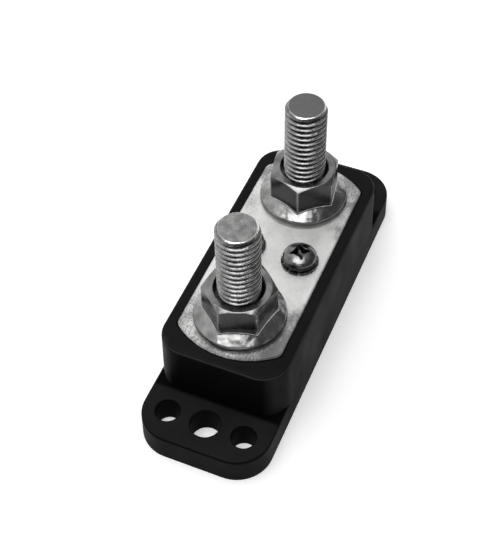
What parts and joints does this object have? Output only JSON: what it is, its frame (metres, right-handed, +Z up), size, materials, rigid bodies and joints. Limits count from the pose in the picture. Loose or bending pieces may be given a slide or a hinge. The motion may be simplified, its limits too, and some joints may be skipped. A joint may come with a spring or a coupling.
{
  "type": "bus bar",
  "caption": "Narrow bus bar: moulded base with drilled ears, plated bar let into its top, threaded studs with flange nuts near the ends, small terminal screws with tooth washers between.",
  "frame": {"origin": "middle of the base's underside, in the plane of the surface that it is screwed to", "axes": "+X along the bar, from the left stud to the right one; +Y across it, towards the back terminal screw; +Z up, the way the studs point"},
  "size_m": [0.097, 0.0318, 0.0519],
  "materials": {
    "base_plastic": "satin moulded, black",
    "plated_bar": "tin plated, satin",
    "stud_steel": "stainless, rolled thread",
    "nut_steel": "stainless, bright",
    "screw_plated": "nickel plated, bright"
  },
  "bodies": {
    "holder": {"base": "base_plastic", "bus_plate": "plated_bar", "stud_left": "stud_steel", "stud_right": "stud_steel"},
    "nut_left": {"flange_nut_left": "nut_steel"},
    "nut_right": {"flange_nut_right": "nut_steel"},
    "washer_front": {"lock_washer_front": "screw_plated"},
    "screw_front": {"terminal_screw_front": "screw_plated"},
    "washer_back": {"lock_washer_back": "screw_plated"},
    "screw_back": {"terminal_screw_back": "screw_plated"}
  },
  "joints": [
    {"name": "nut_left_travel", "type": "slide", "parent": "holder", "child": "nut_left", "axis": [0, 0, 1], "range_m": [0, 0.0193]},
    {"name": "nut_right_travel", "type": "slide", "parent": "holder", "child": "nut_right", "axis": [0, 0, 1], "range_m": [0, 0.0193]},
    {"name": "screw_front_rise", "type": "slide", "parent": "holder", "child": "washer_front", "axis": [0, 0, 1], "range_m": [0, 0.0084]},
    {"name": "screw_front_turn", "type": "hinge", "parent": "washer_front", "child": "screw_front", "pos_m": [0, -0.0067, 0.02195], "axis": [0, 0, 1], "range_deg": [0, 4320]},
    {"name": "screw_back_rise", "type": "slide", "parent": "holder", "child": "washer_back", "axis": [0, 0, 1], "range_m": [0, 0.0084]},
    {"name": "screw_back_turn", "type": "hinge", "parent": "washer_back", "child": "screw_back", "pos_m": [0, 0.0067, 0.02195], "axis": [0, 0, 1], "range_deg": [0, 4320]}
  ],
  "couplings": [
    {"joint": "screw_front_turn", "follows": "screw_front_rise", "rad_per_m": 8976},
    {"joint": "screw_back_turn", "follows": "screw_back_rise", "rad_per_m": 8976}
  ]
}
